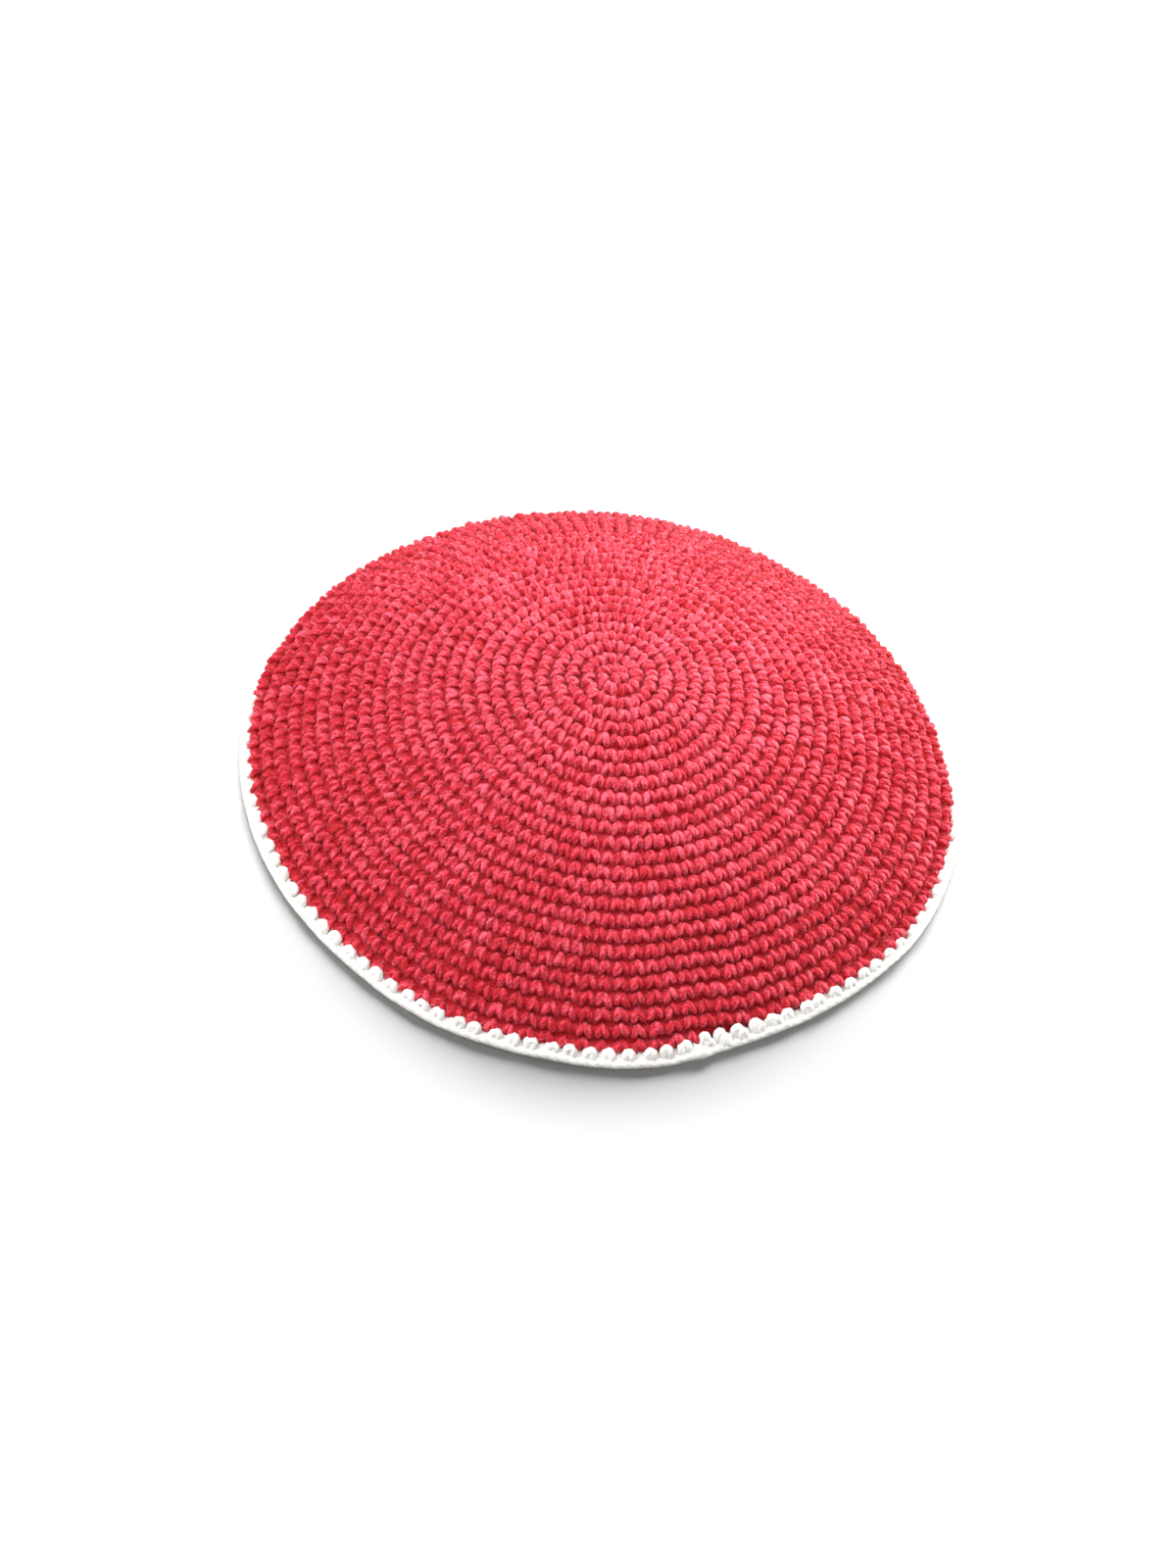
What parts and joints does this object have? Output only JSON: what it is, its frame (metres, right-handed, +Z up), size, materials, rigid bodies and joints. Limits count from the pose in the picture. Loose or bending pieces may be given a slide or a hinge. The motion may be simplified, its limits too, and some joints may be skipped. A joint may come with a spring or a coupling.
{
  "type": "kippah skullcap",
  "caption": "Shallow round skullcap crocheted in a spiral, one layer thick and open below, with a contrasting crocheted edging round its rim.",
  "frame": {"origin": "on the surface that the rim rests on, under the middle of the cap's outline", "axes": "+Z up through the crown's middle, -Y towards the viewer of the picture, +X to the viewer's right"},
  "size_m": [0.1748, 0.168, 0.0373],
  "materials": {
    "red_yarn": "single crochet in soft red cotton yarn",
    "white_yarn": "single crochet in soft white cotton yarn"
  },
  "bodies": {
    "root": {"crown": "red_yarn", "edging": "white_yarn"}
  },
  "joints": []
}
